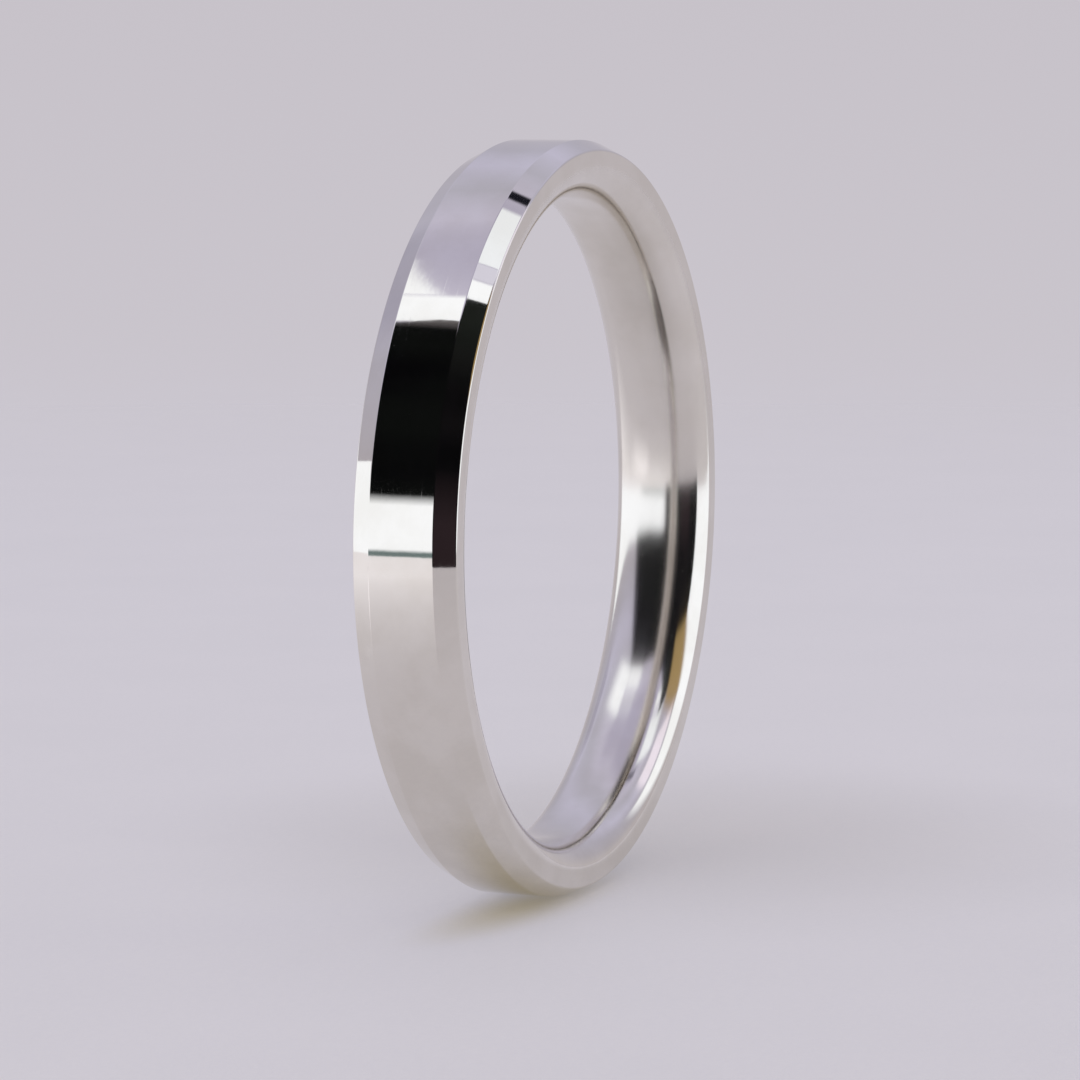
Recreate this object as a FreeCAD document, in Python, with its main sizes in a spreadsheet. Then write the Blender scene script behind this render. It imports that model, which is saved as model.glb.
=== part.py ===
"""Plain wedding band in polished white precious metal, built as one turned ring.

The band has a flat centre field, a straight bevel along each edge, a narrow flat
face on each side and a comfort-fit bore. The bore is a narrow cylindrical land, a
gentle dome on each side of it, and a tighter roll that carries the dome round into
the side face.

Frame: the ring's centre is the origin and its axis is +Y, so it stands on its rim
like a wheel, with +Z up. Millimetres.
"""
import FreeCAD, Part
import math
import os

import Sketcher

SIZES = "Sizes"

# Driving dimensions, in millimetres: alias, value, what it is.
DIMENSIONS = [
    ("finger_diameter", 18.5, "inside diameter at the land, the ring size"),
    ("wall_thickness", 1.6, "from the land to the centre field"),
    ("band_width", 3.0, "between the two side faces"),
    ("bevel_run", 0.57, "width of each bevel along the axis"),
    ("bevel_drop", 0.28, "how far each bevel falls below the centre field"),
    ("side_face", 0.37, "radial width of each flat side face"),
    ("land_width", 0.3, "cylindrical land in the middle of the bore"),
    ("dome_width", 1.6, "gently domed part of the bore, land included"),
    ("rim_round", 0.08, "polished round between bevel and side face"),
    ("facet_round", 0.08, "softening of the line between centre field and bevel"),
]


def size(expression):
    """An expression on the sheet: every $word is a cell of it."""
    return expression.replace("$", SIZES + ".")


OUTER_RADIUS = size("($finger_diameter / 2 + $wall_thickness)")
RIM_RADIUS = size("($finger_diameter / 2 + $wall_thickness - $bevel_drop)")
SHOULDER_RADIUS = size("($finger_diameter / 2 + $wall_thickness - $bevel_drop - $side_face)")


def make_sheet(doc):
    """The spreadsheet that holds the driving dimensions."""
    sheet = doc.addObject("Spreadsheet::Sheet", SIZES)
    for row, (alias, value, meaning) in enumerate(DIMENSIONS, start=1):
        sheet.set(f"A{row}", alias)
        sheet.set(f"B{row}", str(value))
        sheet.set(f"C{row}", meaning)
        sheet.setAlias(f"B{row}", alias)
    doc.recompute()
    return sheet


def origin_plane(body, role):
    """One of the body's own origin planes."""
    return next(item for item in body.Origin.OriginFeatures if item.Role == role)


class Profile:
    """The band's cross-section: x runs along the axis, y is the radius."""

    X_AXIS = -1
    Y_AXIS = -2
    ORIGIN = (-1, 1)

    def __init__(self, body, sheet):
        self.sketch = body.newObject("Sketcher::SketchObject", "CrossSection")
        self.sketch.AttachmentSupport = [(origin_plane(body, "YZ_Plane"), "")]
        self.sketch.MapMode = "FlatFace"
        self.sheet = sheet

    def line(self, start, end):
        """A straight side of the profile, returned as its geometry index."""
        segment = Part.LineSegment(FreeCAD.Vector(*start, 0), FreeCAD.Vector(*end, 0))
        return self.sketch.addGeometry(segment, False)

    def arc(self, start, middle, end):
        """A round side of the profile through three points."""
        points = [FreeCAD.Vector(*point, 0) for point in (start, middle, end)]
        return self.sketch.addGeometry(Part.Arc(*points), False)

    def hold(self, kind, *where):
        """A constraint with no size."""
        self.sketch.addConstraint(Sketcher.Constraint(kind, *where))

    def measure(self, name, kind, where, value, expression):
        """A named, driving size bound to the sheet."""
        index = self.sketch.addConstraint(Sketcher.Constraint(kind, *where, value))
        self.sketch.renameConstraint(index, name)
        self.sketch.setExpression(f"Constraints.{name}", expression)


def bore_points(half_land, half_dome, half_width, bore, shoulder):
    """The middle of the dome, where it meets the roll, and the middle of the roll.

    The dome leaves the land level and the roll arrives square to the axis at the side
    face, so the slope where the two arcs meet follows from the other sizes.
    """
    dome_run = half_dome - half_land
    roll_run = half_width - half_dome
    rise = shoulder - bore
    total = dome_run + roll_run + rise
    root = math.sqrt(total * total - 4 * dome_run * (rise - roll_run))
    slope = 2 * math.atan((total - root) / (2 * dome_run))
    dome_radius = dome_run / math.sin(slope)
    roll_radius = roll_run / (1 - math.sin(slope))

    def on_dome(angle):
        return (half_land + dome_radius * math.sin(angle),
                bore + dome_radius * (1 - math.cos(angle)))

    def on_roll(angle):
        return (half_width - roll_radius * (1 - math.sin(angle)),
                shoulder - roll_radius * math.cos(angle))

    return on_dome(slope / 2), on_dome(slope), on_roll((slope + math.pi / 2) / 2)


def mirrored(point):
    """The point on the other side of the profile's own y axis."""
    return (-point[0], point[1])


def draw_profile(body, sheet):
    """Draws the closed cross-section, mirror-symmetric about its own y axis."""
    half_width = sheet.band_width / 2
    half_field = half_width - sheet.bevel_run
    half_land = sheet.land_width / 2
    half_dome = sheet.dome_width / 2
    bore = sheet.finger_diameter / 2
    outer = bore + sheet.wall_thickness
    rim = outer - sheet.bevel_drop
    shoulder = rim - sheet.side_face
    land_end = (half_land, bore)
    roll_end = (half_width, shoulder)
    on_dome, meeting, on_roll = bore_points(half_land, half_dome, half_width, bore, shoulder)

    profile = Profile(body, sheet)
    field = profile.line((-half_field, outer), (half_field, outer))
    bevel_right = profile.line((half_field, outer), (half_width, rim))
    side_right = profile.line((half_width, rim), (half_width, shoulder))
    land = profile.line((half_land, bore), (-half_land, bore))
    side_left = profile.line((-half_width, shoulder), (-half_width, rim))
    bevel_left = profile.line((-half_width, rim), (-half_field, outer))
    dome_right = profile.arc(land_end, on_dome, meeting)
    roll_right = profile.arc(meeting, on_roll, roll_end)
    roll_left = profile.arc(mirrored(roll_end), mirrored(on_roll), mirrored(meeting))
    dome_left = profile.arc(mirrored(meeting), mirrored(on_dome), mirrored(land_end))

    # Each arc runs anticlockwise: its start point is 1 and its end point is 2.
    for first, second in [
        ((field, 2), (bevel_right, 1)),
        ((bevel_right, 2), (side_right, 1)),
        ((side_left, 2), (bevel_left, 1)),
        ((bevel_left, 2), (field, 1)),
    ]:
        profile.hold("Coincident", *first, *second)
    for first, second in [
        ((dome_right, 1), (land, 1)),
        ((dome_right, 2), (roll_right, 1)),
        ((roll_right, 2), (side_right, 2)),
        ((dome_left, 2), (land, 2)),
        ((roll_left, 2), (dome_left, 1)),
        ((roll_left, 1), (side_left, 1)),
    ]:
        profile.hold("Tangent", *first, *second)
    profile.hold("Equal", roll_left, roll_right)
    profile.hold("Vertical", side_right)
    for left, right in [
        ((field, 1), (field, 2)),
        ((side_left, 2), (side_right, 1)),
        ((side_left, 1), (side_right, 2)),
        ((land, 2), (land, 1)),
    ]:
        profile.hold("Symmetric", *left, *right, Profile.Y_AXIS)

    profile.measure("width", "DistanceX", (side_left, 2, side_right, 1),
                    2 * half_width, size("$band_width"))
    profile.measure("centre_field", "DistanceX", (field, 1, field, 2),
                    2 * half_field, size("$band_width - 2 * $bevel_run"))
    profile.measure("land", "DistanceX", (land, 2, land, 1),
                    2 * half_land, size("$land_width"))
    profile.measure("dome", "DistanceX", (roll_left, 2, roll_right, 1),
                    2 * half_dome, size("$dome_width"))
    profile.measure("outer_radius", "DistanceY", (*Profile.ORIGIN, field, 1),
                    outer, OUTER_RADIUS)
    profile.measure("rim_radius", "DistanceY", (*Profile.ORIGIN, side_right, 1),
                    rim, RIM_RADIUS)
    profile.measure("shoulder_radius", "DistanceY", (*Profile.ORIGIN, side_right, 2),
                    shoulder, SHOULDER_RADIUS)
    profile.measure("bore_radius", "DistanceY", (*Profile.ORIGIN, land, 1),
                    bore, size("$finger_diameter / 2"))
    return profile.sketch


def circles_at(shape, radius, offset):
    """Names of the shape's circular edges of one radius, at plus and minus offset along Y."""
    tolerance = 1e-4
    names = []
    for number, edge in enumerate(shape.Edges, start=1):
        if not isinstance(edge.Curve, Part.Circle):
            continue
        same_radius = abs(edge.Curve.Radius - radius) < tolerance
        same_place = abs(abs(edge.Curve.Center.y) - offset) < tolerance
        if same_radius and same_place:
            names.append(f"Edge{number}")
    return names


def round_edges(body, base, name, radius, offset, alias):
    """A fillet on the two mirror-image edges at one radius and offset."""
    edges = circles_at(base.Shape, radius, offset)
    if len(edges) != 2:
        raise RuntimeError(f"{name}: expected two edges, found {len(edges)}")
    fillet = body.newObject("PartDesign::Fillet", name)
    fillet.Base = (base, edges)
    fillet.setExpression("Radius", size(f"${alias}"))
    body.Document.recompute()
    return fillet


def make_band(doc, sheet):
    """The band itself: one turned ring with its corners polished round."""
    body = doc.addObject("PartDesign::Body", "Band")
    body.Label = "band"
    body.Placement = FreeCAD.Placement()
    sketch = draw_profile(body, sheet)
    doc.recompute()
    if not sketch.FullyConstrained:
        raise RuntimeError("the cross-section is not fully constrained")

    ring = body.newObject("PartDesign::Revolution", "TurnedRing")
    ring.Profile = sketch
    ring.ReferenceAxis = (sketch, ["H_Axis"])
    ring.Angle = 360.0
    sketch.Visibility = False
    doc.recompute()

    half_width = sheet.band_width / 2
    half_field = half_width - sheet.bevel_run
    outer = sheet.finger_diameter / 2 + sheet.wall_thickness
    rim = outer - sheet.bevel_drop
    rims = round_edges(body, ring, "RimRounds", rim, half_width, "rim_round")
    facets = round_edges(body, rims, "FacetRounds", outer, half_field, "facet_round")
    body.Tip = facets
    doc.recompute()
    return body


def check(doc, parts):
    """Stops the script if anything failed to compute, or a solid isn't sound."""
    for item in doc.Objects:
        for state in item.State:
            if state in ("Invalid", "Error"):
                raise RuntimeError(f"{item.Name} is {state}")
    for part in parts:
        shape = part.Shape
        if shape.isNull() or not shape.isValid() or len(shape.Solids) != 1:
            raise RuntimeError(f"{part.Label} is not one sound solid")


def main():
    doc = FreeCAD.newDocument("WeddingBand")
    sheet = make_sheet(doc)
    parts = [make_band(doc, sheet)]
    doc.recompute()
    check(doc, parts)
    os.makedirs("parts", exist_ok=True)
    for part in parts:
        part.Shape.exportStep(f"parts/{part.Label}.step")
        box = part.Shape.optimalBoundingBox()
        print(f"{part.Label}: {box.XLength:.3f} x {box.YLength:.3f} x {box.ZLength:.3f} mm,"
              f" {part.Shape.Volume:.2f} mm3")


main()
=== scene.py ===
"""A polished wedding band with bevelled edges, standing on its rim on a pale floor.

The band is one spun piece with the same profile as the CAD body, so fine that every
rounded edge mirrors the studio cleanly. Lengths are in millimetres until they reach
a mesh, and the origin is the centre of the bore, with the finger axis along Y.
"""

import math

import bpy
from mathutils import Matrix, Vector


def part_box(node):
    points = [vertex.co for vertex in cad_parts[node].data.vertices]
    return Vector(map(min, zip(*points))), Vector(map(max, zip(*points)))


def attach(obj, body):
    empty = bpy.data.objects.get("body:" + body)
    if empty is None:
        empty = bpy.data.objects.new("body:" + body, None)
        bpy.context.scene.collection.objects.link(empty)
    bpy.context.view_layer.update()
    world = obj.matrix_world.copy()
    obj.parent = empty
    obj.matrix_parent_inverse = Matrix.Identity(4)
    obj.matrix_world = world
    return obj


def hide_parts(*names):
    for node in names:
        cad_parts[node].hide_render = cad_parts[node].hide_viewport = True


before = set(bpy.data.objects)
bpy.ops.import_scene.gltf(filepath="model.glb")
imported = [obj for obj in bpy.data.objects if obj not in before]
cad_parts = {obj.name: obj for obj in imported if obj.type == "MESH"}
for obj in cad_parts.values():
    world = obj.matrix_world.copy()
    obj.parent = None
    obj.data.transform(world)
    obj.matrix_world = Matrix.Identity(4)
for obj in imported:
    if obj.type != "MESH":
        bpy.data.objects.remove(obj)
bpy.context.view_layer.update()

MM = 0.001
BAND_LOW, BAND_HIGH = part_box("band")

# The band's profile. The outside sizes are the CAD body's own.
OUTER_RADIUS = BAND_HIGH.z / MM
HALF_WIDTH = BAND_HIGH.y / MM
WALL = 1.6
BORE_RADIUS = OUTER_RADIUS - WALL
BEVEL_RUN = 0.57
BEVEL_DROP = 0.28
SIDE_FACE = 0.37
HALF_LAND = 0.15
HALF_DOME = 0.8
RIM_RADIUS = OUTER_RADIUS - BEVEL_DROP
SHOULDER_RADIUS = RIM_RADIUS - SIDE_FACE
FACET_ROUND = 0.08
RIM_ROUND = 0.08

SEGMENTS = 576
FLAT_STEPS = (0.0, 0.02, 0.5, 0.98, 1.0)
ROUND_STEPS = 8
DOME_STEPS = 16
ROLL_STEPS = 36
SAME_POINT = 1e-4

FLOOR_Z = BAND_LOW.z / MM


# ---------------------------------------------------------------- the profile
def unit(vector):
    """The 2-D vector at length 1."""
    length = math.hypot(*vector)
    return (vector[0] / length, vector[1] / length)


def flat_run(start, end):
    """Profile points with their outward normals along a straight run."""
    along = unit((end[0] - start[0], end[1] - start[1]))
    normal = (-along[1], along[0])
    return [
        (
            start[0] + (end[0] - start[0]) * step,
            start[1] + (end[1] - start[1]) * step,
            *normal,
        )
        for step in FLAT_STEPS
    ]


def arc_run(centre, radius, first, last, steps):
    """Profile points with their outward normals along an arc, angles in radians."""
    points = []
    for i in range(steps + 1):
        angle = first + (last - first) * i / steps
        across, out = math.cos(angle), math.sin(angle)
        points.append(
            (centre[0] + radius * across, centre[1] + radius * out, across, out)
        )
    return points


def rounded_corner(before, corner, after, radius):
    """The round of a corner between two straight runs: its points, start and end."""
    back = unit((before[0] - corner[0], before[1] - corner[1]))
    ahead = unit((after[0] - corner[0], after[1] - corner[1]))
    half = math.acos(back[0] * ahead[0] + back[1] * ahead[1]) / 2
    reach = radius / math.tan(half)
    middle = unit((back[0] + ahead[0], back[1] + ahead[1]))
    depth = radius / math.sin(half)
    centre = (corner[0] + middle[0] * depth, corner[1] + middle[1] * depth)
    start = (corner[0] + back[0] * reach, corner[1] + back[1] * reach)
    end = (corner[0] + ahead[0] * reach, corner[1] + ahead[1] * reach)
    first = math.atan2(start[1] - centre[1], start[0] - centre[0])
    last = math.atan2(end[1] - centre[1], end[0] - centre[0])
    return arc_run(centre, radius, first, last, ROUND_STEPS), start, end


def bore_arcs():
    """The roll from the side face into the bore, and the gentle dome it meets.

    The dome leaves the land level and the roll ends square to the side face, so the
    slope where the two arcs meet follows from the other sizes.
    """
    dome_run = HALF_DOME - HALF_LAND
    roll_run = HALF_WIDTH - HALF_DOME
    rise = SHOULDER_RADIUS - BORE_RADIUS
    total = dome_run + roll_run + rise
    root = math.sqrt(total * total - 4 * dome_run * (rise - roll_run))
    slope = 2 * math.atan((total - root) / (2 * dome_run))
    dome_radius = dome_run / math.sin(slope)
    roll_radius = roll_run / (1 - math.sin(slope))
    down = -math.pi / 2
    roll_centre = (HALF_WIDTH - roll_radius, SHOULDER_RADIUS)
    dome_centre = (HALF_LAND, BORE_RADIUS + dome_radius)
    roll = arc_run(roll_centre, roll_radius, 0.0, down + slope, ROLL_STEPS)
    dome = arc_run(dome_centre, dome_radius, down + slope, down, DOME_STEPS)
    return roll, dome


def half_profile():
    """The +Y half, from the middle of the outside to the middle of the bore.

    Each point is (distance along the axis, radius, and the normal's two parts).
    """
    crown = (0.0, OUTER_RADIUS)
    facet_edge = (HALF_WIDTH - BEVEL_RUN, OUTER_RADIUS)
    rim_edge = (HALF_WIDTH, RIM_RADIUS)
    shoulder = (HALF_WIDTH, SHOULDER_RADIUS)
    land_end = (HALF_LAND, BORE_RADIUS)
    land_middle = (0.0, BORE_RADIUS)

    facet, facet_in, facet_out = rounded_corner(
        crown, facet_edge, rim_edge, FACET_ROUND
    )
    rim, rim_in, rim_out = rounded_corner(facet_edge, rim_edge, shoulder, RIM_ROUND)
    roll, dome = bore_arcs()
    runs = [
        flat_run(crown, facet_in),
        facet,
        flat_run(facet_out, rim_in),
        rim,
        flat_run(rim_out, shoulder),
        roll,
        dome,
        flat_run(land_end, land_middle),
    ]
    points = []
    for part in runs:
        for point in part:
            apart = points and math.dist(point[:2], points[-1][:2])
            if not points or apart > SAME_POINT:
                points.append(point)
    return points


def closed_profile():
    """The whole profile as a loop, mirrored about the middle of the width."""
    half = half_profile()
    mirrored = [(-y, r, -ny, nr) for y, r, ny, nr in reversed(half[1:-1])]
    return half + mirrored


def spin_band(name, profile):
    """The profile turned once round the Y axis, as a closed mesh of quads."""
    verts = []
    normals = []
    for i in range(SEGMENTS):
        turn = 2 * math.pi * i / SEGMENTS
        east, up = math.sin(turn), math.cos(turn)
        for y, radius, normal_y, normal_r in profile:
            verts.append((radius * east * MM, y * MM, radius * up * MM))
            normals.append((normal_r * east, normal_y, normal_r * up))
    count = len(profile)
    faces = []
    for i in range(SEGMENTS):
        here = i * count
        there = (i + 1) % SEGMENTS * count
        for j in range(count):
            k = (j + 1) % count
            faces.append((here + j, there + j, there + k, here + k))
    mesh = bpy.data.meshes.new(name)
    mesh.from_pydata(verts, [], faces)
    mesh.validate()
    mesh.shade_smooth()
    mesh.normals_split_custom_set_from_vertices(normals)
    band = bpy.data.objects.new(name, mesh)
    bpy.context.scene.collection.objects.link(band)
    return band


# ------------------------------------------------------------- node shorthand
class Nodes:
    """A few short ways to add and join nodes in one node tree."""

    def __init__(self, tree):
        tree.nodes.clear()
        self.tree = tree

    def add(self, kind, settings=None, **sockets):
        """A node with its settings, and its sockets given a value or a link."""
        node = self.tree.nodes.new(kind)
        for key, value in (settings or {}).items():
            setattr(node, key, value)
        for key, value in sockets.items():
            self.put(node.inputs[key.replace("_", " ")], value)
        return node

    def put(self, socket, value):
        """Sets an input socket, or links it if the value is an output socket."""
        if isinstance(value, bpy.types.NodeSocket):
            self.tree.links.new(value, socket)
        else:
            socket.default_value = value

    def math(self, operation, *values, clamp=False):
        """The output of a Math node."""
        node = self.add("ShaderNodeMath", {"operation": operation, "use_clamp": clamp})
        for socket, value in zip(node.inputs, values):
            self.put(socket, value)
        return node.outputs[0]

    def scale_range(self, value, low, high, to_low=0.0, to_high=1.0):
        """value, from low..high to to_low..to_high, smoothly and clamped."""
        node = self.add("ShaderNodeMapRange", {"interpolation_type": "SMOOTHSTEP"})
        for socket, number in zip(node.inputs, (value, low, high, to_low, to_high)):
            self.put(socket, number)
        return node.outputs[0]

    def length(self, vector):
        """A vector's length."""
        node = self.add("ShaderNodeVectorMath", {"operation": "LENGTH"}, Vector=vector)
        return node.outputs["Value"]

    def noise(self, vector, scale, detail=2.0, roughness=0.5):
        """The Fac output of a Noise texture."""
        node = self.add(
            "ShaderNodeTexNoise",
            Vector=vector,
            Scale=scale,
            Detail=detail,
            Roughness=roughness,
        )
        return node.outputs["Fac"]

    def ramp(self, value, stops):
        """A Color Ramp's colour, its stops given as (place, (r, g, b))."""
        node = self.add("ShaderNodeValToRGB", Fac=value)
        elements = node.color_ramp.elements
        while len(elements) < len(stops):
            elements.new(1.0)
        for element, (place, colour) in zip(elements, stops):
            element.position = place
            element.color = (*colour, 1.0)
        return node.outputs["Color"]


def new_material(name):
    """A new node material and its node shorthand."""
    material = bpy.data.materials.new(name)
    material.use_nodes = True
    return material, Nodes(material.node_tree)


# ------------------------------------------------------------ the band's metal
METAL_LIGHT = (0.80, 0.765, 0.705)
METAL_DEEP = (0.753, 0.716, 0.65)
BASE_ROUGHNESS = 0.03
BORE_ROUGHNESS = 0.11
HAIRLINE_ROUGHNESS = 0.05
HAZE_ROUGHNESS = 0.02
WORN_ROUGHNESS = 0.03
SPECK_ROUGHNESS = 0.2
WORN_FROM = 1.35
HAIRLINES = ((0.0, 1.0, 0.38), (38.0, 0.8, 0.34), (-57.0, 1.3, 0.34))
RIPPLE_HEIGHT = 1.2e-6
GRAIN_HEIGHT = 3e-8


def surface_coordinates(nodes):
    """(all three in mm, round the band in mm, across it in mm, radius in mm)."""
    place = nodes.add("ShaderNodeTexCoord").outputs["Object"]
    scaled = nodes.add(
        "ShaderNodeVectorMath", {"operation": "SCALE"}, Vector=place, Scale=1 / MM
    ).outputs[0]
    split = nodes.add("ShaderNodeSeparateXYZ", Vector=scaled)
    x, y, z = split.outputs
    turn = nodes.math("ARCTAN2", x, z)
    around = nodes.math("MULTIPLY", turn, OUTER_RADIUS)
    radius = nodes.math(
        "SQRT", nodes.math("ADD", nodes.math("POWER", x, 2), nodes.math("POWER", z, 2))
    )
    return scaled, around, y, radius


def hairlines(nodes, around, across, tilt, fineness, share):
    """Fine polishing lines as a 0..1 mask: long along the tilt, thin across it."""
    joined = nodes.add("ShaderNodeCombineXYZ", X=around, Y=across)
    turned = nodes.add(
        "ShaderNodeMapping",
        Vector=joined.outputs[0],
        Rotation=(0, 0, math.radians(tilt)),
        Scale=(0.35 * fineness, 26.0 * fineness, 1.0),
    )
    lines = nodes.noise(turned.outputs[0], 1.0, detail=3.0, roughness=0.6)
    return nodes.scale_range(lines, 1 - share, 1 - share + 0.10)


def polish_lines(nodes, around, across):
    """The three sets of HAIRLINES, each (tilt, fineness, share), as one mask."""
    mask = 0.0
    for tilt, fineness, share in HAIRLINES:
        lines = hairlines(nodes, around, across, tilt, fineness, share)
        mask = nodes.math("MAXIMUM", mask, lines)
    return mask


def metal_roughness(nodes, lines, haze, speck, across, radius):
    """A mirror polish, rougher in the bore, on worn edges and in each mark."""
    inside = nodes.scale_range(radius, SHOULDER_RADIUS, BORE_RADIUS)
    edge = nodes.scale_range(nodes.math("ABSOLUTE", across), WORN_FROM, HALF_WIDTH)
    worn = nodes.math("MULTIPLY", edge, nodes.scale_range(haze, 0.45, 0.7))
    rough = nodes.math("MULTIPLY_ADD", lines, HAIRLINE_ROUGHNESS, BASE_ROUGHNESS)
    rough = nodes.math("MULTIPLY_ADD", haze, HAZE_ROUGHNESS, rough)
    rough = nodes.math("MULTIPLY_ADD", inside, BORE_ROUGHNESS, rough)
    rough = nodes.math("MULTIPLY_ADD", worn, WORN_ROUGHNESS, rough)
    return nodes.math("MULTIPLY_ADD", speck, SPECK_ROUGHNESS, rough)


def polished_metal():
    """White precious metal: mirror polish, with the traces that a polish leaves."""
    material, nodes = new_material("band_polished_metal")
    place, around, across, radius = surface_coordinates(nodes)
    lines = polish_lines(nodes, around, across)
    cloud = nodes.noise(place, 0.55, detail=4.0, roughness=0.55)
    haze = nodes.noise(place, 3.2, detail=5.0, roughness=0.65)
    specks = nodes.add("ShaderNodeTexVoronoi", Vector=place, Scale=3.4)
    speck = nodes.scale_range(specks.outputs["Distance"], 0.05, 0.02)

    rough = metal_roughness(nodes, lines, haze, speck, across, radius)

    colour = nodes.add(
        "ShaderNodeMix",
        {"data_type": "RGBA"},
        Factor=nodes.scale_range(cloud, 0.35, 0.65),
    )
    nodes.put(colour.inputs[6], (*METAL_DEEP, 1.0))
    nodes.put(colour.inputs[7], (*METAL_LIGHT, 1.0))

    ripple = nodes.add(
        "ShaderNodeBump", Height=cloud, Distance=RIPPLE_HEIGHT, Strength=1.0
    )
    grain = nodes.add(
        "ShaderNodeBump",
        Height=nodes.math("SUBTRACT", 1.0, nodes.math("MAXIMUM", lines, speck)),
        Distance=GRAIN_HEIGHT,
        Strength=1.0,
        Normal=ripple.outputs[0],
    )
    shader = nodes.add(
        "ShaderNodeBsdfPrincipled",
        Base_Color=colour.outputs[2],
        Metallic=1.0,
        Roughness=rough,
        Normal=grain.outputs[0],
    )
    nodes.add("ShaderNodeOutputMaterial", Surface=shader.outputs[0])
    return material


# ------------------------------------------------------------------ the studio
CEILING = 150.0
FAR_WALL = 107.0
NEAR_WALL = 80.0
HORIZON_TOP = 21.0
BASE_TOP = FLOOR_Z + 4.0
FLOOR_SIZE = 700.0
FLOOR_FADE = (60.0, 260.0)
FLOOR_COLOUR = (0.55, 0.505, 0.375)
FLOOR_DEEP = (0.51, 0.47, 0.345)
FLOOR_GLOW = (0.277, 0.281, 0.356)
# Painted contact shadow: the floor's glow turns darker and warmer in a stretched
# ellipse at the band's foot.
FOOT_SHADOW_GLOW = (0.185, 0.170, 0.145)
CONTACT_SHADOW_CENTRE = (-2.9, -0.3, 0.0)
CONTACT_SHADOW_TURN = -6.0
CONTACT_SHADOW_STRETCH = 3.6
CONTACT_SHADOW_FADE = (0.0, 1.95)
# Painted shade: the floor's glow dims on the band's +X side, in its lee.
LEE_SHADE_CENTRE = (9.0, 0.0, 0.0)
LEE_SHADE_FADE = (2.0, 18.0)
LEE_SHADE_DEPTH = 0.75
BLACK = (0.0020, 0.0020, 0.0026)
GREEN_BLACK = (0.0042, 0.0050, 0.0048)
DEEP_GREY = (0.006, 0.0055, 0.0065)
GREEN_GREY = (0.014, 0.0165, 0.015)
BROWN = (0.027, 0.018, 0.022)
TEAL = (0.16, 0.22, 0.23)
WHITE = (0.88, 0.92, 1.0)
COOL_WHITE = (0.86, 0.91, 1.0)
DIM_WHITE = (0.80, 0.80, 0.97)
GREY = (0.14, 0.13, 0.14)
BLUE_BLACK = (0.011, 0.011, 0.019)
PINK_WHITE = (0.89, 0.84, 1.0)
FLOOR_WHITE = (0.98, 0.96, 1.03)
SHADE = (0.44, 0.43, 0.56)
GOLD = (0.40, 0.285, 0.13)
PANEL_GLOW = 1.34
CARD_LIFT = 0.25
CARD_BENDS = 24
CORNER_SOFTNESS = 0.16
LAVENDER_STOPS = (
    (-1.0, (0.604, 0.584, 0.631)),
    (-0.12, (0.597, 0.567, 0.617)),
    (0.02, (0.572, 0.54, 0.585)),
    (0.20, (0.50, 0.48, 0.56)),
    (0.42, (0.505, 0.495, 0.61)),
    (0.62, (0.62, 0.61, 0.80)),
    (0.79, (0.53, 0.525, 0.65)),
    (0.89, (0.64, 0.62, 0.80)),
    (0.94, (0.50, 0.48, 0.65)),
)


def floor_glow_and_painted_shade(nodes, scaled):
    """The floor's own glow, with a painted contact shadow at the foot (the glow warmer
    and darker there) and painted shade in the lee (the glow dimmer there).
    """
    # Painted contact shadow: the ellipse round the foot where the glow falls to the
    # darker, warmer colour.
    shadow = nodes.add(
        "ShaderNodeMapping",
        {"vector_type": "TEXTURE"},
        Vector=scaled,
        Location=CONTACT_SHADOW_CENTRE,
        Rotation=(0, 0, math.radians(CONTACT_SHADOW_TURN)),
        Scale=(CONTACT_SHADOW_STRETCH, 1.0, 1.0),
    )
    clear_of_foot = nodes.scale_range(nodes.length(shadow.outputs[0]), *CONTACT_SHADOW_FADE)
    glow = nodes.ramp(clear_of_foot, ((0.0, FOOT_SHADOW_GLOW), (1.0, FLOOR_GLOW)))
    # Painted shade in the lee: the glow's strength drops near the lee's centre.
    aside = nodes.add("ShaderNodeVectorMath", {"operation": "SUBTRACT"}, Vector=scaled)
    nodes.put(aside.inputs[1], LEE_SHADE_CENTRE)
    lee = nodes.scale_range(nodes.length(aside.outputs[0]), *LEE_SHADE_FADE, LEE_SHADE_DEPTH, 1.0)
    return glow, lee


def floor_material():
    """Pale board with a fine tooth, melting into the backdrop far from the band."""
    material, nodes = new_material("floor_pale_board")
    place = nodes.add("ShaderNodeTexCoord").outputs["Object"]
    scaled = nodes.add(
        "ShaderNodeVectorMath", {"operation": "SCALE"}, Vector=place, Scale=1 / MM
    ).outputs[0]
    tooth = nodes.noise(scaled, 4.5, detail=6.0, roughness=0.7)
    mottle = nodes.noise(scaled, 0.12, detail=3.0)
    tone = nodes.math("MULTIPLY_ADD", mottle, 0.4, nodes.math("MULTIPLY", tooth, 0.6))
    colour = nodes.ramp(tone, ((0.3, FLOOR_DEEP), (0.7, FLOOR_COLOUR)))
    bump = nodes.add("ShaderNodeBump", Height=tooth, Distance=2e-5, Strength=1.0)
    board = nodes.add(
        "ShaderNodeBsdfPrincipled",
        Base_Color=colour,
        Roughness=nodes.math("MULTIPLY_ADD", tooth, 0.2, 0.6),
        Normal=bump.outputs[0],
    )
    nodes.put(board.inputs["Specular IOR Level"], 0.2)
    # The emission carries a painted contact shadow at the foot and painted shade in the
    # lee, besides the floor's even glow.
    glow, lee = floor_glow_and_painted_shade(nodes, scaled)
    nodes.put(board.inputs["Emission Color"], glow)
    nodes.put(board.inputs["Emission Strength"], lee)
    fade = nodes.scale_range(nodes.length(scaled), *FLOOR_FADE)
    clear = nodes.add("ShaderNodeBsdfTransparent")
    mixed = nodes.add("ShaderNodeMixShader", Fac=fade)
    nodes.put(mixed.inputs[1], board.outputs[0])
    nodes.put(mixed.inputs[2], clear.outputs[0])
    nodes.add("ShaderNodeOutputMaterial", Surface=mixed.outputs[0])
    return material


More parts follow.
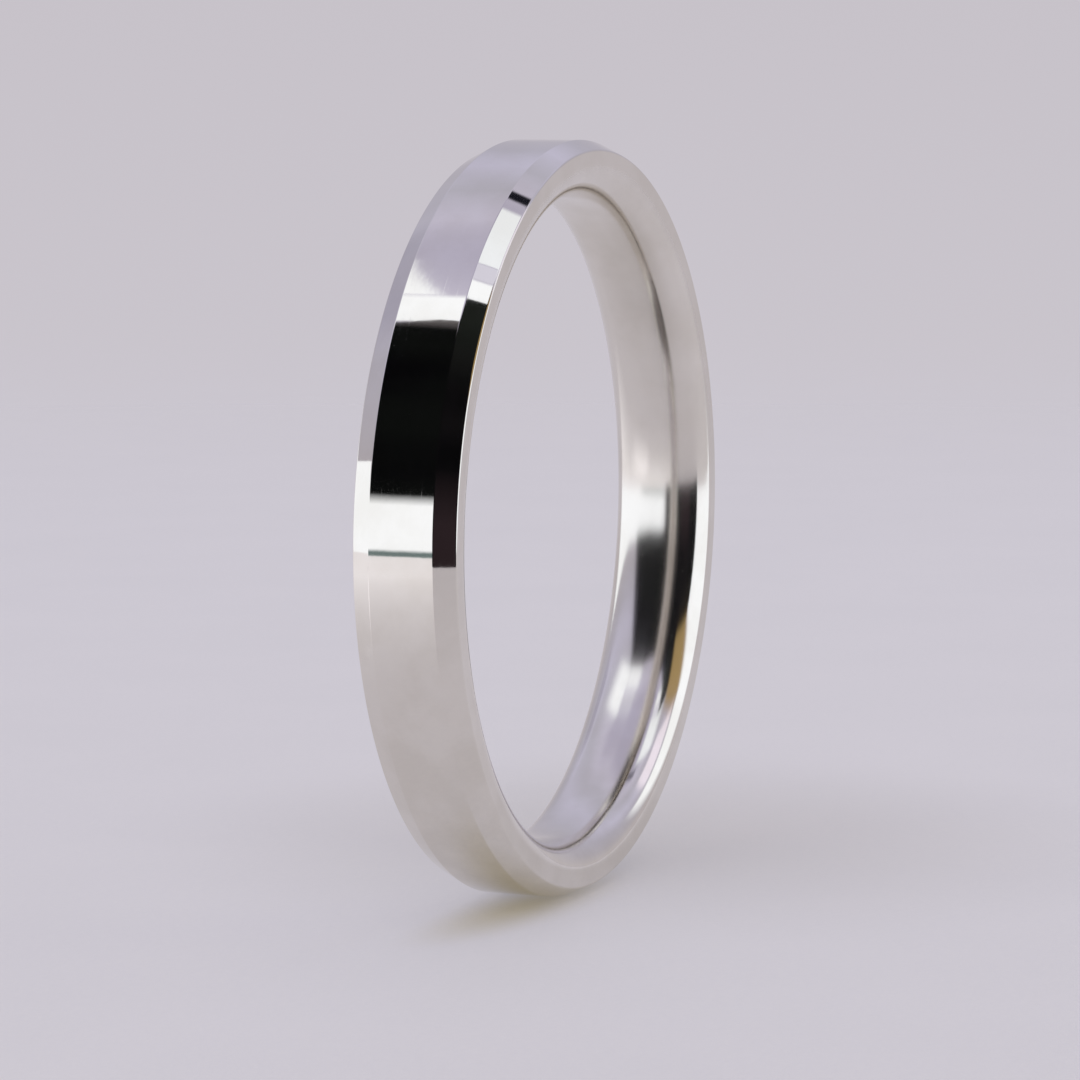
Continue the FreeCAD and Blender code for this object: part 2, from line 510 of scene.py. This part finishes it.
def card_material(name, colours, strength):
    """A card's glow, mottled between two colours and clear where "cover" is 0."""
    material, nodes = new_material(name)
    place = nodes.add("ShaderNodeTexCoord").outputs["Object"]
    cloud = nodes.noise(place, 28.0, detail=2.0)
    colour = nodes.ramp(cloud, ((0.40, colours[0]), (0.62, colours[1])))
    glow = nodes.add("ShaderNodeEmission", Color=colour, Strength=strength)
    clear = nodes.add("ShaderNodeBsdfTransparent")
    cover = nodes.add("ShaderNodeAttribute", {"attribute_name": "cover"})
    mixed = nodes.add("ShaderNodeMixShader", Fac=cover.outputs["Fac"])
    nodes.put(mixed.inputs[1], clear.outputs[0])
    nodes.put(mixed.inputs[2], glow.outputs[0])
    nodes.add("ShaderNodeOutputMaterial", Surface=mixed.outputs[0])
    return material


def studio_mesh(name, verts, faces, material):
    """A piece of the studio, not of the band. Sizes in mm."""
    mesh = bpy.data.meshes.new(name)
    mesh.from_pydata([Vector(v) * MM for v in verts], [], faces)
    mesh.materials.append(material)
    made = bpy.data.objects.new(name, mesh)
    bpy.context.scene.collection.objects.link(made)
    return made


def soft_steps(low, high, soft, count):
    """Places from low to high with how far a card covers there: 0 at a soft edge."""
    places = {low: float(soft[0] == 0), high: float(soft[1] == 0)}
    inner_low, inner_high = low + soft[0], high - soft[1]
    for i in range(count + 1):
        places[inner_low + (inner_high - inner_low) * i / count] = 1.0
    return sorted(places.items(), reverse=low > high)


def card(name, columns, rows, place, colours, strength):
    """A light panel or dark flag that the camera itself doesn't see.

    columns and rows are soft_steps(), and place(column, row) is a point in mm.
    """
    verts = []
    cover = []
    for column, column_cover in columns:
        for row, row_cover in rows:
            verts.append(place(column, row))
            cover.append(column_cover * row_cover)
    tall = len(rows)
    faces = [
        (i * tall + j, i * tall + j + 1, (i + 1) * tall + j + 1, (i + 1) * tall + j)
        for i in range(len(columns) - 1)
        for j in range(tall - 1)
    ]
    if len(colours) != 2:
        colours = (colours, colours)
    made = studio_mesh(name, verts, faces, card_material(name, colours, strength))
    made.data.attributes.new("cover", "FLOAT", "POINT").data.foreach_set("value", cover)
    made.visible_camera = False
    made.visible_diffuse = False
    made.visible_shadow = False
    return made


def wall_card(name, compass, height, distance, colours, strength=1.0,
              soft_sides=(0, 0), soft_ends=(0, 0)):
    """A card bent round the band at that distance, between two compass angles."""

    def place(angle, z):
        turn = math.radians(angle)
        return (distance * math.sin(turn), -distance * math.cos(turn), z)

    columns = soft_steps(*compass, soft_sides, CARD_BENDS)
    rows = soft_steps(*height, soft_ends, 1)
    return card(name, columns, rows, place, colours, strength)


def ceiling_card(name, x_range, y_range, colours, strength=1.0,
                 soft_x=(0, 0), soft_y=(0, 0)):
    """A level card above the band."""

    def place(x, y):
        return (x, y, CEILING)

    columns = soft_steps(*x_range, soft_x, 1)
    rows = soft_steps(*y_range, soft_y, 1)
    return card(name, columns, rows, place, colours, strength)


def sector_card(name, compass, reach, colours, strength=1.0,
                soft_sides=(0, 0), soft_ends=(0, 0)):
    """A level card just above the floor, part of a ring round the band's foot."""

    def place(angle, out):
        turn = math.radians(angle)
        return (out * math.sin(turn), -out * math.cos(turn), FLOOR_Z + CARD_LIFT)

    columns = soft_steps(*compass, soft_sides, CARD_BENDS)
    rows = soft_steps(*reach, soft_ends, 1)
    return card(name, columns, rows, place, colours, strength)


def corner_card(name, corners, distance, colours, strength=1.0):
    """A card bent round the band between four corners, each (compass, height)."""
    low_left, low_right, high_right, high_left = corners

    def between(first, second, share):
        return [a + (b - a) * share for a, b in zip(first, second)]

    def place(across, up):
        angle, z = between(
            between(low_left, low_right, across),
            between(high_left, high_right, across),
            up,
        )
        turn = math.radians(angle)
        return (distance * math.sin(turn), -distance * math.cos(turn), z)

    steps = soft_steps(0.0, 1.0, (CORNER_SOFTNESS, CORNER_SOFTNESS), CARD_BENDS // 2)
    return card(name, steps, steps, place, colours, strength)


def build_floor():
    """A large pale floor, its top level with the foot of the band."""
    half = FLOOR_SIZE / 2
    corners = [(-half, -half), (half, -half), (half, half), (-half, half)]
    verts = [(x, y, 0.0) for x, y in corners]
    floor = studio_mesh("floor", verts, [(0, 1, 2, 3)], floor_material())
    floor.location.z = FLOOR_Z * MM
    return floor


def build_wall_cards():
    """Light panels and black flags that stand round the band, as in a light tent."""
    wall_card("horizon_panel", (-200, -104), (FLOOR_Z, HORIZON_TOP), FAR_WALL,
              WHITE, PANEL_GLOW, soft_sides=(6, 0))
    wall_card("horizon_base", (-128, -104), (FLOOR_Z, BASE_TOP), FAR_WALL - 1, TEAL,
              soft_sides=(8, 0), soft_ends=(0.8, 1.6))
    wall_card("flag_side", (-131, -103), (11.0, 122.0), NEAR_WALL,
              (BLACK, GREEN_BLACK), soft_ends=(4.0, 0))
    wall_card("flag_trim", (-131, -103), (111.0, 122.0), NEAR_WALL - 1, GREY,
              soft_ends=(9.5, 0))
    wall_card("flag_front", (-103, -10), (FLOOR_Z, 152.0), NEAR_WALL,
              (BLACK, DEEP_GREY))
    wall_card("flag_foot", (-78, -42), (FLOOR_Z, 24.0), NEAR_WALL - 1, BROWN,
              soft_ends=(0, 20))
    wall_card("flag_crown", (-66, -22), (60.0, 152.0), NEAR_WALL - 1, GREEN_GREY,
              soft_ends=(60, 0))
    wall_card("rear_shade", (143, 184), (44.0, 82.0), FAR_WALL, SHADE,
              soft_sides=(10, 10), soft_ends=(12, 12))
    wall_card("window_panel", (-16, 54), (FLOOR_Z, 44.0), FAR_WALL, WHITE, PANEL_GLOW,
              soft_sides=(0, 6), soft_ends=(0, 8))
    wall_card("window_top", (14, 44), (46.0, 118.0), FAR_WALL, PINK_WHITE, 1.2,
              soft_sides=(3, 3), soft_ends=(3, 10))
    corner_card("warm_card", ((-10, 27), (31, 15), (-4, 103), (-48, 68)),
                NEAR_WALL - 2, GOLD)


def build_floor_cards():
    """Bright patches low round the band's foot."""
    sector_card("floor_rear", (-200, -88), (18, 107), FLOOR_WHITE, 1.0,
                soft_sides=(6, 8), soft_ends=(42, 0))
    sector_card("floor_crease", (-148, -114), (22, 75), FLOOR_WHITE, 1.25,
                soft_sides=(8, 8), soft_ends=(20, 20))


def build_ceiling_cards():
    """Lamps above the band, and a dark gap to one side of them."""
    ceiling_card("lamp_rear", (-75, -46), (52, 125), WHITE, PANEL_GLOW,
                 soft_x=(1.5, 4), soft_y=(1.0, 30))
    ceiling_card("lamp_rear_wing", (-50, -3), (60.4, 125), WHITE, PANEL_GLOW,
                 soft_x=(0, 10), soft_y=(1.2, 30))
    ceiling_card("lamp_front", (-17, 42), (-120, -28), COOL_WHITE, 1.24,
                 soft_x=(1, 4), soft_y=(30, 2))
    ceiling_card("lamp_between", (-31.5, -16.5), (-120, -28), DIM_WHITE, 1.0,
                 soft_x=(1, 1), soft_y=(30, 2))
    ceiling_card("lamp_corner", (-50, -31), (-120, -30), WHITE, PANEL_GLOW,
                 soft_x=(1, 2), soft_y=(30, 2))
    ceiling_card("ceiling_gap", (51.5, 65.5), (-45, -8), BLUE_BLACK, soft_x=(3, 3))


def soft_light(name, place, size, power):
    """An area light aimed at the band, which no mirror shows."""
    data = bpy.data.lights.new(name, "AREA")
    data.shape = "DISK"
    data.size = size * MM
    data.energy = power
    light = bpy.data.objects.new(name, data)
    bpy.context.scene.collection.objects.link(light)
    light.location = Vector(place) * MM
    light.rotation_mode = "QUATERNION"
    light.rotation_quaternion = (-Vector(place)).to_track_quat("-Z", "Y")
    light.visible_glossy = False
    light.visible_camera = False
    return light


def build_lights():
    """Broad soft light from above, and a little from each bright side."""
    soft_light("fill_top", (10, -10, 400), 320, 0.06)
    soft_light("fill_horizon", (-110, 90, 20), 40, 0.012)
    soft_light("fill_window", (40, -140, 60), 60, 0.012)


def build_world():
    """The tent's own lavender light, a little different at each height."""
    world = bpy.data.worlds.new("studio")
    bpy.context.scene.world = world
    world.use_nodes = True
    nodes = Nodes(world.node_tree)
    direction = nodes.add("ShaderNodeTexCoord").outputs["Generated"]
    height = nodes.add("ShaderNodeSeparateXYZ", Vector=direction).outputs["Z"]
    lifted = nodes.math("MULTIPLY_ADD", height, 0.5, 0.5)
    stops = [((z + 1) / 2, colour) for z, colour in LAVENDER_STOPS]
    glow = nodes.add(
        "ShaderNodeBackground", Color=nodes.ramp(lifted, stops), Strength=1.0
    )
    nodes.add("ShaderNodeOutputWorld", Surface=glow.outputs[0])


# ------------------------------------------------------------------ the camera
CAMERA_COMPASS = -68.84
CAMERA_ELEVATION = 6.47
CAMERA_DISTANCE = 124.04
CAMERA_AIM = Vector((-0.1445, 0.1729, -0.6379))
LENS = 143.5


def build_camera():
    """A long lens, a little above the band and well round to its side."""
    data = bpy.data.cameras.new("camera")
    data.lens = LENS
    data.sensor_width = 36.0
    data.clip_start = 0.005
    data.clip_end = 10.0
    camera = bpy.data.objects.new("camera", data)
    bpy.context.scene.collection.objects.link(camera)
    around, up = math.radians(CAMERA_COMPASS), math.radians(CAMERA_ELEVATION)
    back = Vector(
        (
            math.sin(around) * math.cos(up),
            -math.cos(around) * math.cos(up),
            math.sin(up),
        )
    )
    camera.location = (CAMERA_AIM + back * CAMERA_DISTANCE) * MM
    camera.rotation_mode = "QUATERNION"
    camera.rotation_quaternion = (-back).to_track_quat("-Z", "Y")
    bpy.context.scene.camera = camera


# -------------------------------------------------------------------- assembly
def build_band():
    """The spun band, which stands for the CAD body."""
    band = spin_band("band_polished", closed_profile())
    band.data.materials.append(polished_metal())
    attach(band, "root")
    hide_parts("band")
    return band


build_band()
build_floor()
build_wall_cards()
build_floor_cards()
build_ceiling_cards()
build_lights()
build_world()
build_camera()
bpy.context.scene.view_settings.view_transform = "Standard"
